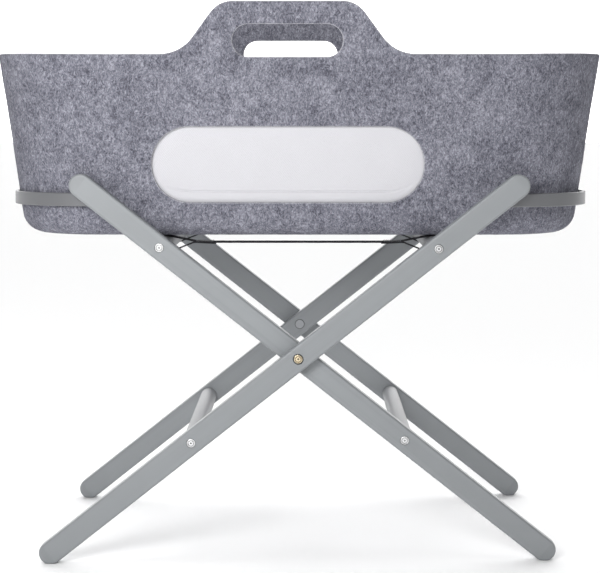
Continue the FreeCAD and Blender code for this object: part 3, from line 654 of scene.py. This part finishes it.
def build_shell():
    top = top_edge()
    top[:, 1] -= FELT_EDGE
    stations = np.linspace(0, AROUND, 361)
    low_edge = [(s, WALL_LOW) for s in stations[::-1]]
    sides = resample([(0, WALL_LOW), (0, top[0][1])], SEAM_SPACING)[1:-1]
    left = [tuple(p) for p in sides]
    right = [(AROUND, z) for _, z in left[::-1]]
    outline = [tuple(p) for p in top] + right + low_edge + left
    loops = [stadium_loop(*hole, FELT_EDGE) for hole in HOLES]

    def keep(s, z, margin):
        inside = (z < np.interp(s, top[:, 0], top[:, 1]) - margin) & (z > WALL_LOW + margin)
        inside &= (s > margin) & (s < AROUND - margin)
        for hole in HOLES:
            inside &= ~in_stadium(s, z, *hole, FELT_EDGE + margin)
        return inside

    flat, faces = cut_flat(outline, loops, WALL_SPACING, keep)
    count = len(flat)
    verts = [wall_point(flat[:, 0], flat[:, 1], np.zeros(count)),
             wall_point(flat[:, 0], flat[:, 1], np.full(count, FELT))]
    all_faces = [tuple(f) for f in faces] + [tuple(int(v) + count for v in f[::-1]) for f in faces]
    marks = [0] * len(all_faces)
    used = 2 * count

    # cut edges, rounded from the outer to the inner face: (share of the thickness, of the rounding)
    rounds = [(0.12, 0.72), (0.34, 1.0), (0.66, 1.0), (0.88, 0.72)]
    cut = []
    for a, b in border_edges(faces):
        on_low = max(flat[a][1], flat[b][1]) < WALL_LOW + ON_EDGE
        on_seam = (max(flat[a][0], flat[b][0]) < ON_EDGE
                   or min(flat[a][0], flat[b][0]) > AROUND - ON_EDGE)
        if not on_low and not on_seam:
            cut.append((a, b))
    away = {}
    for a, b in cut:
        step = flat[b] - flat[a]
        normal = np.array([step[1], -step[0]]) / np.linalg.norm(step)
        for v in (a, b):
            away[v] = away.get(v, np.zeros(2)) + normal
    order = sorted(away)
    index = {v: i for i, v in enumerate(order)}
    base = np.array([flat[v] for v in order])
    push = np.array([away[v] / np.linalg.norm(away[v]) for v in order])
    for share, out in rounds:
        moved = base + push * FELT_EDGE * out
        verts.append(wall_point(moved[:, 0], moved[:, 1], np.full(len(base), FELT * share)))
    rings = [lambda v: v] + [(lambda v, k=k: used + k * len(order) + index[v]) for k in range(len(rounds))]
    rings.append(lambda v: v + count)
    for a, b in cut:
        for first, second in zip(rings, rings[1:]):
            all_faces.append((first(b), first(a), second(a), second(b)))
            marks.append(1)
    used += len(order) * len(rounds)

    # the round bottom edge and the floor, outside and inside
    for t, turned in ((0.0, False), (FELT, True)):
        rows = []
        for phi in np.linspace(TAPER, math.pi / 2, 9):
            radius = BOTTOM_ROUND - t
            n = FILLET_N - radius * math.cos(phi)
            z = FILLET_Z - radius * math.sin(phi)
            centre, out = around(np.minimum(stations, AROUND - 1e-9))
            ring = centre + out * (CORNER - n)
            points = np.column_stack([ring, np.full(len(stations), z)])
            points[:, :2] += out * (sway(points) * math.cos(phi))[:, None]
            rows.append(points)
        start = used
        verts += rows
        size = len(stations)
        used += size * len(rows)
        for r in range(len(rows) - 1):
            for k in range(size - 1):
                here, below = start + r * size + k, start + (r + 1) * size + k
                quad = (here, below, below + 1, here + 1)
                all_faces.append(quad[::-1] if turned else quad)
                marks.append(0)
        floor_loop = rows[-1][:-1, :2]
        half_l, half_w, corner = HALF_LENGTH - FILLET_N, HALF_WIDTH - FILLET_N, CORNER - FILLET_N

        def on_floor(x, y, margin):
            dx = np.maximum(0, np.abs(x) - (half_l - corner))
            dy = np.maximum(0, np.abs(y) - (half_w - corner))
            return (np.hypot(dx, dy) < corner - margin)

        plan, tris = cut_flat(floor_loop, [], FLOOR_SPACING, on_floor)
        verts.append(np.column_stack([plan, np.full(len(plan), rows[-1][0, 2])]))
        for f in tris:
            f = [int(v) + used for v in f]
            all_faces.append(tuple(f) if turned else tuple(f[::-1]))
            marks.append(0)
        used += len(plan)
    shell = new_object("basket_felt_shell", np.vstack(verts), all_faces, [felt, felt_cut],
                       face_material=marks)
    welded = bmesh.new()
    welded.from_mesh(shell.data)
    bmesh.ops.remove_doubles(welded, verts=welded.verts, dist=WELD_DISTANCE)
    bmesh.ops.recalc_face_normals(welded, faces=welded.faces)
    welded.to_mesh(shell.data)
    welded.free()
    return shell


shell = build_shell()
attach(shell, "basket")
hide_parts("felt_shell")

# ---- mesh windows: stretched over the cut-outs from inside, sewn along their border ----

PRESS_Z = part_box("mattress_cover")[1].z + 0.0015
MESH_TRIM = 0.001                  # the panel ends this far inside its CAD outline
MESH_SPACING, MESH_EDGE_SPACING = 0.0042, 0.004
MESH_GAP, MESH_THICK, SEAM_LIFT = 0.0006, 0.0009, 0.0017   # from the felt's inner face
BULGE = 0.0008
CREASE_DEPTH, CREASE_WIDTH = 0.0021, 0.0013
CREASE_STEP, STEP_WIDTH = 0.0009, 0.0009


def window_panel(name, node, side):
    """A stretched panel. It fills out a little through the cut-out, and the top edge of the
    mattress shows in it as a soft crease that lifts at the ends."""
    length, height = WINDOW_LENGTH + 2 * MESH_BORDER, WINDOW_HEIGHT + 2 * MESH_BORDER
    outline = stadium_loop(0, 0, length, height, -MESH_TRIM, MESH_EDGE_SPACING)

    def keep(x, z, margin):
        return in_stadium(x, z, 0, 0, length, height, -MESH_TRIM - margin)

    def crease_line(x):
        right = np.clip((x - 0.134) / 0.04, 0, 1.3)
        left = np.clip((-x - 0.125) / 0.05, 0, 1)
        return PRESS_Z - WINDOW_Z + 0.015 * right ** 2 + 0.006 * left ** 1.5

    along = np.arange(-length / 2, length / 2, 0.0025)
    beside = (-0.0045, -0.0032, -0.0022, -0.0014, -0.0007, 0.0, 0.0007, 0.0014, 0.0022, 0.0032)
    fine = np.vstack([np.column_stack([along, crease_line(along) + d]) for d in beside])
    flat, faces = cut_flat(outline, [], MESH_SPACING, keep, fine)
    x, z = flat[:, 0], flat[:, 1]
    straight = WINDOW_LENGTH / 2 - WINDOW_HEIGHT / 2
    reach = np.hypot(np.maximum(0, np.abs(x) - straight), z) / (WINDOW_HEIGHT / 2)
    open_share = np.clip((1.0 - reach) / 0.35, 0, 1)
    open_share = open_share * open_share * (3 - 2 * open_share)
    bulge = BULGE * open_share
    below = z - crease_line(x)
    crease = (-CREASE_DEPTH * np.exp(-(below / CREASE_WIDTH) ** 2)
              + CREASE_STEP / (1 + np.exp(below / STEP_WIDTH)))
    wrinkle = 0.0005 * np.sin((0.15 * x + z) * 1400) * np.exp(
        -((x + 0.150) / 0.020) ** 2 - ((z + 0.026) / 0.006) ** 2)
    soft = 0.0003 * waves(np.column_stack([x, z * 0, z]), 31, 0.07)
    lift = bulge + (crease + wrinkle + soft) * open_share
    # x runs to the right on both panels, and s runs round the basket
    s = (NEAR_S if side < 0 else FAR_S) + x * (1 if side < 0 else -1)
    middle = np.full(len(x), WINDOW_Z)
    points = wall_point(s, middle + z, FELT + MESH_GAP - lift)
    turned = [tuple(f) if side < 0 else tuple(f[::-1]) for f in faces]
    panel = new_object(name, points, turned, [mesh_white])
    thick = panel.modifiers.new("thick", "SOLIDIFY")
    thick.thickness = MESH_THICK
    thick.offset = -1
    apply_modifiers(panel)
    panel.data.polygons.foreach_set("use_smooth", [True] * len(panel.data.polygons))
    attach(panel, "basket")
    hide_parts(node)
    border = stadium_loop(0, 0, WINDOW_LENGTH + MESH_BORDER, WINDOW_HEIGHT + MESH_BORDER, 0,
                          MESH_EDGE_SPACING)
    border = np.vstack([border, border[:1]])
    seam_s = (NEAR_S if side < 0 else FAR_S) + border[:, 0] * (1 if side < 0 else -1)
    seam = wall_point(seam_s, WINDOW_Z + border[:, 1], np.full(len(border), FELT + SEAM_LIFT))
    inward = np.tile((0.0, -side * math.cos(TAPER), math.sin(TAPER)), (len(seam), 1))
    thread = stitches(name + "_stitching", [(seam, inward)], white_thread)
    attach(thread, "basket")


window_panel("near_window_panel", "near_window_mesh", -1)
window_panel("far_window_panel", "far_window_mesh", 1)

# ---- mattress: a padded slab with piped edges ----

cover_low, cover_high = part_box("mattress_cover")
MATTRESS_CORNER = 0.101
PIPING_FROM_EDGE, PIPING_RADIUS, PIPING_PROUD = 0.0075, 0.0021, 0.0010
PAD_INSET, PAD_LIFT = 0.004, 0.0015         # the unpuffed pad inside its CAD box: sides and top, bottom
PAD_VOXEL = 0.006
PAD_PRESSURE, PAD_STIFFNESS, PAD_BENDING, PAD_FRAMES = 4.0, 25.0, 2.0, 20
PAD_MOST_MOVE, PAD_CROWN = 0.010, 0.005


def slab_ring(half_x, half_y, corner, z, count):
    """A level rounded rectangle as points."""
    points = []
    for quarter, (sx, sy) in enumerate(((1, 1), (-1, 1), (-1, -1), (1, -1))):
        for a in np.linspace(0, math.pi / 2, count):
            turn = quarter * math.pi / 2 + a
            points.append((sx * (half_x - corner) + corner * math.cos(turn),
                           sy * (half_y - corner) + corner * math.sin(turn), z))
    return points


def build_mattress():
    half_x, half_y = cover_high.x - PAD_INSET, cover_high.y - PAD_INSET
    low, high = cover_low.z + PAD_LIFT, cover_high.z - PAD_INSET
    levels = ((0.005, low), (0.001, low + 0.002), (0.0, low + 0.006),
              (0.0, high - 0.006), (0.001, high - 0.002), (0.005, high))
    rings = [slab_ring(half_x - inset, half_y - inset, MATTRESS_CORNER - inset, z, 14) for inset, z in levels]
    size = len(rings[0])
    verts = np.vstack(rings)
    faces = [tuple(range(size))[::-1], tuple(range(5 * size, 6 * size))]
    for r in range(5):
        for k in range(size):
            n = (k + 1) % size
            faces.append((r * size + k, r * size + n, (r + 1) * size + n, (r + 1) * size + k))
    pad = new_object("mattress", verts, faces, [cover_white])
    remesh = pad.modifiers.new("remesh", "REMESH")
    remesh.mode = "VOXEL"
    remesh.voxel_size = PAD_VOXEL
    apply_modifiers(pad)
    rest = np.array([v.co for v in pad.data.vertices])
    cloth = pad.modifiers.new("cloth", "CLOTH")
    cloth.settings.use_pressure = True
    cloth.settings.uniform_pressure_force = PAD_PRESSURE
    cloth.settings.effector_weights.gravity = 0.0
    cloth.settings.tension_stiffness = PAD_STIFFNESS
    cloth.settings.compression_stiffness = PAD_STIFFNESS
    cloth.settings.bending_stiffness = PAD_BENDING
    cloth.point_cache.frame_end = PAD_FRAMES
    for step in range(1, PAD_FRAMES + 1):
        bpy.context.scene.frame_set(step)
    apply_modifiers(pad)
    bpy.context.scene.frame_set(1)
    puffed = np.array([v.co for v in pad.data.vertices])
    move = puffed - rest
    far = np.linalg.norm(move, axis=1)
    move *= np.where(far > PAD_MOST_MOVE, PAD_MOST_MOVE / np.maximum(far, 1e-9), 1.0)[:, None]
    shaped = rest + move
    edge = np.minimum((half_x - np.abs(rest[:, 0])) / 0.20, (half_y - np.abs(rest[:, 1])) / 0.10)
    crown = np.clip(edge, 0, 1)
    crown = crown * crown * (3 - 2 * crown)
    upper = np.clip((rest[:, 2] - low) / (high - low), 0, 1)
    shaped[:, 2] = rest[:, 2] + np.clip(move[:, 2], -0.001, 0.006) * upper + PAD_CROWN * crown * upper
    shaped[:, 2] += 0.0010 * waves(rest * (1, 1, 0), 41, 0.11) * upper * np.clip(edge * 3, 0, 1)
    shaped[:, 2] = np.maximum(shaped[:, 2], cover_low.z)
    shaped[:, 0] = np.clip(shaped[:, 0], cover_low.x, cover_high.x)
    shaped[:, 1] = np.clip(shaped[:, 1], cover_low.y, cover_high.y)
    pad.data.vertices.foreach_set("co", shaped.astype(np.float32).ravel())
    smooth = pad.modifiers.new("smooth", "SMOOTH")
    smooth.factor = 0.5
    smooth.iterations = 3
    finer = pad.modifiers.new("finer", "SUBSURF")
    finer.levels = finer.render_levels = 1
    apply_modifiers(pad)
    pad.data.polygons.foreach_set("use_smooth", [True] * len(pad.data.polygons))
    return pad


mattress = build_mattress()
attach(mattress, "mattress")
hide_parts("mattress_cover", "mattress_core")


def build_piping():
    """Two closed cords sewn round the pad, one near its top edge and one near its bottom edge.
    Each follows the pad's own surface at that height."""
    surface = BVHTree.FromPolygons([v.co for v in mattress.data.vertices],
                                   [tuple(p.vertices) for p in mattress.data.polygons])
    verts, faces = [], []
    for z in (cover_high.z - PIPING_FROM_EDGE, cover_low.z + PIPING_FROM_EDGE):
        outside = resample(slab_ring(cover_high.x, cover_high.y, MATTRESS_CORNER, z, 14), 0.007, True)
        line = []
        for point, after, before in zip(outside, np.roll(outside, -1, 0), np.roll(outside, 1, 0)):
            step = after - before
            outward = Vector((step[1], -step[0], 0.0)).normalized()
            hit = surface.ray_cast(Vector(point) + outward * 0.01, -outward)[0]
            line.append(np.array(hit + outward * PIPING_PROUD))
        more, polys = tube(line, PIPING_RADIUS, 10, True)
        start = len(verts)
        verts += more
        faces += [tuple(v + start for v in f) for f in polys]
    piping = new_object("mattress_piping", verts, faces, [piping_white])
    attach(piping, "mattress")


build_piping()

# ---- webbing straps: looped round both top crossbars, lapped and sewn ----

def strap_path():
    """Middle line of one strap in side view, from its sewn end under the left to that under the right."""
    radius = BAR_RADIUS + STRAP_PLAY + STRAP_THICK / 2
    seam_x = bar_x - STRAP_SEAM_REACH
    seam_z = bar_z + STRAP_SEAM_RISE
    distance = math.hypot(STRAP_SEAM_REACH, STRAP_SEAM_RISE)
    heading = math.atan2(STRAP_SEAM_RISE, -STRAP_SEAM_REACH)
    spread = math.acos(radius / distance)
    upper, lower = heading - spread, heading + spread
    right = [(seam_x - 0.030, seam_z)]
    right.append((seam_x - 0.004, seam_z))
    for a in np.linspace(upper, lower - 2 * math.pi, 26):
        right.append((bar_x + radius * math.cos(a), bar_z + radius * math.sin(a)))
    right.append((seam_x - 0.002, seam_z - STRAP_THICK * 1.02))
    right.append((seam_x - 0.032, seam_z - STRAP_THICK * 1.02))
    left = [(-x, z) for x, z in right[::-1]]
    return left + right


def build_strap(name, node, y_middle):
    path = resample(strap_path(), 0.0035)
    x, z = path[:, 0], path[:, 1]
    middle = np.clip(1 - (np.abs(x) / (bar_x - STRAP_SEAM_REACH)) ** 2, 0, 1)
    step = np.gradient(path, axis=0)
    step /= np.linalg.norm(step, axis=1)[:, None]
    normal = np.column_stack([-step[:, 1], step[:, 0]])
    half = STRAP_WIDTH / 2
    profile = []
    columns = np.linspace(-1, 1, 13)
    for c in columns:
        thick = STRAP_THICK / 2 * (0.72 if abs(c) > 0.99 else 1.0 if abs(c) > 0.8 else 0.9)
        profile.append((c * half, thick))
    ring = profile + [(y, -t) for y, t in profile[::-1]]
    verts, faces = [], []
    for point, out, free in zip(path, normal, middle):
        for y, t in ring:
            cup = STRAP_CUP * (y / half) ** 2 * min(1.0, 3 * free)
            verts.append((point[0] + out[0] * t, y_middle + y, point[1] + out[1] * t - cup))
    size = len(ring)
    for r in range(len(path) - 1):
        for k in range(size):
            n = (k + 1) % size
            faces.append((r * size + k, (r + 1) * size + k, (r + 1) * size + n, r * size + n))
    faces.append(tuple(range(size)))
    faces.append(tuple(range((len(path) - 1) * size, len(path) * size))[::-1])
    strap = new_object(name, verts, faces, [webbing])
    rows = []
    for sign in (-1, 1):
        seam_x = sign * (bar_x - STRAP_SEAM_REACH)
        ends = (seam_x - sign * BOX_START, seam_x - sign * BOX_END)
        top = bar_z + STRAP_SEAM_RISE + STRAP_THICK / 2
        corners = [(ends[0], -half + BOX_MARGIN), (ends[1], -half + BOX_MARGIN),
                   (ends[1], half - BOX_MARGIN), (ends[0], half - BOX_MARGIN)]
        lines = [(corners[i], corners[(i + 1) % 4]) for i in range(4)]
        lines += [(corners[0], corners[2]), (corners[1], corners[3])]
        for height, up in ((top, 1), (top - 2 * STRAP_THICK - 0.0001, -1)):
            for (ax, ay), (bx, by) in lines:
                rows.append(([(ax, y_middle + ay, height), (bx, y_middle + by, height)],
                             [(0, 0, up), (0, 0, up)]))
    thread = stitches(name + "_stitching", rows, webbing_white_thread, 0.003, 0.0022, 0.0003)
    for piece in (strap, thread):
        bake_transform(piece)
    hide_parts(node)


build_strap("near_webbing_strap", "near_strap", -strap_y)
build_strap("far_webbing_strap", "far_strap", strap_y)

# ---- floor, light and camera ----

FLOOR_SIZE, FLOOR_ROWS, FLOOR_DROP = 160.0, 9, 0.0002
KEY_PLACE, KEY_TARGET, KEY_SIZE, KEY_POWER = (-0.46, -1.53, 0.98), (-0.03, 0, 0.40), (0.8, 0.6), 19.5
TOP_PLACE, TOP_TARGET, TOP_SIZE, TOP_POWER = (-0.25, -0.35, 2.3), (0, 0, 0.3), (0.7, 0.7), 7.5
CAMERA_PLACE, CAMERA_DOWN, CAMERA_TURN = (0.0128, -2.266, 0.577), 0.0985, 0.0051
CAMERA_LENS, CAMERA_SENSOR = 94.2, 36.0


def build_floor():
    g = Graph("studio_floor")
    grain = g.noise(g.place, 30.0, 4.0)
    tone = g.mix(grain.outputs["Fac"], (0.978, 0.978, 0.980), (0.986, 0.986, 0.988))
    material = g.finish(tone, 0.75, g.bump(grain.outputs["Fac"], 0.0003, 0.2), Specular_IOR_Level=0.2)
    verts, faces = [], []
    for i in range(FLOOR_ROWS):
        for j in range(FLOOR_ROWS):
            verts.append((FLOOR_SIZE * (j / (FLOOR_ROWS - 1) - 0.5),
                          FLOOR_SIZE * (i / (FLOOR_ROWS - 1) - 0.5), -FLOOR_DROP))
    for i in range(FLOOR_ROWS - 1):
        for j in range(FLOOR_ROWS - 1):
            a = i * FLOOR_ROWS + j
            faces.append((a, a + 1, a + FLOOR_ROWS + 1, a + FLOOR_ROWS))
    floor = new_object("floor", verts, faces, [material], smooth=False)


def area_light(name, place, target, size, power):
    data = bpy.data.lights.new(name, "AREA")
    data.shape = "RECTANGLE"
    data.size, data.size_y = size
    data.energy = power
    light = bpy.data.objects.new(name, data)
    light.location = place
    light.rotation_mode = "QUATERNION"
    light.rotation_quaternion = (Vector(target) - Vector(place)).to_track_quat("-Z", "Y")
    bpy.context.scene.collection.objects.link(light)


def build_world():
    """A white room: bright behind the object, dim in front, dimmer towards the left and most of
    all towards the right, with a bright ring low down all round that keeps the far floor white."""
    world = bpy.data.worlds.new("studio")
    world.use_nodes = True
    tree = world.node_tree

    def along(direction, low, high, at_low, at_high):
        """Strength that goes from at_low to at_high as a direction turns towards the one given."""
        dot = tree.nodes.new("ShaderNodeVectorMath")
        dot.operation = "DOT_PRODUCT"
        dot.inputs[1].default_value = direction
        tree.links.new(place.outputs["Generated"], dot.inputs[0])
        spread = tree.nodes.new("ShaderNodeMapRange")
        spread.interpolation_type = "SMOOTHSTEP"
        for key, value in (("From Min", low), ("From Max", high), ("To Min", at_low), ("To Max", at_high)):
            spread.inputs[key].default_value = value
        tree.links.new(dot.outputs["Value"], spread.inputs["Value"])
        return spread.outputs["Result"]

    def combine(operation, a, b):
        node = tree.nodes.new("ShaderNodeMath")
        node.operation = operation
        tree.links.new(a, node.inputs[0])
        tree.links.new(b, node.inputs[1])
        return node.outputs[0]

    place = tree.nodes.new("ShaderNodeTexCoord")
    front_to_back = along((0.0, 1.0, 0.0), 0.0, 0.50, 0.34, 2.70)
    right = along((0.85, -0.50, 0.15), 0.1, 0.8, 1.0, 0.08)
    left = along((-0.95, -0.30, 0.0), 0.2, 0.8, 1.0, 0.25)
    low_ring = along((0.0, 0.0, 1.0), 0.06, 0.14, 1.05, 0.0)
    sides = combine("MULTIPLY", combine("MULTIPLY", front_to_back, right), left)
    strength = combine("MAXIMUM", sides, low_ring)
    background = tree.nodes["Background"]
    background.inputs["Color"].default_value = (1.0, 1.0, 1.0, 1)
    tree.links.new(strength, background.inputs["Strength"])
    bpy.context.scene.world = world


build_floor()
build_world()
area_light("key", KEY_PLACE, KEY_TARGET, KEY_SIZE, KEY_POWER)
area_light("top", TOP_PLACE, TOP_TARGET, TOP_SIZE, TOP_POWER)

camera_data = bpy.data.cameras.new("camera")
camera_data.lens = CAMERA_LENS
camera_data.sensor_width = CAMERA_SENSOR
camera = bpy.data.objects.new("camera", camera_data)
camera.location = CAMERA_PLACE
camera.rotation_euler = (math.pi / 2 - CAMERA_DOWN, 0.0, CAMERA_TURN)
bpy.context.scene.collection.objects.link(camera)
bpy.context.scene.camera = camera
bpy.context.scene.view_settings.view_transform = "Standard"
bpy.context.scene.view_settings.look = "None"
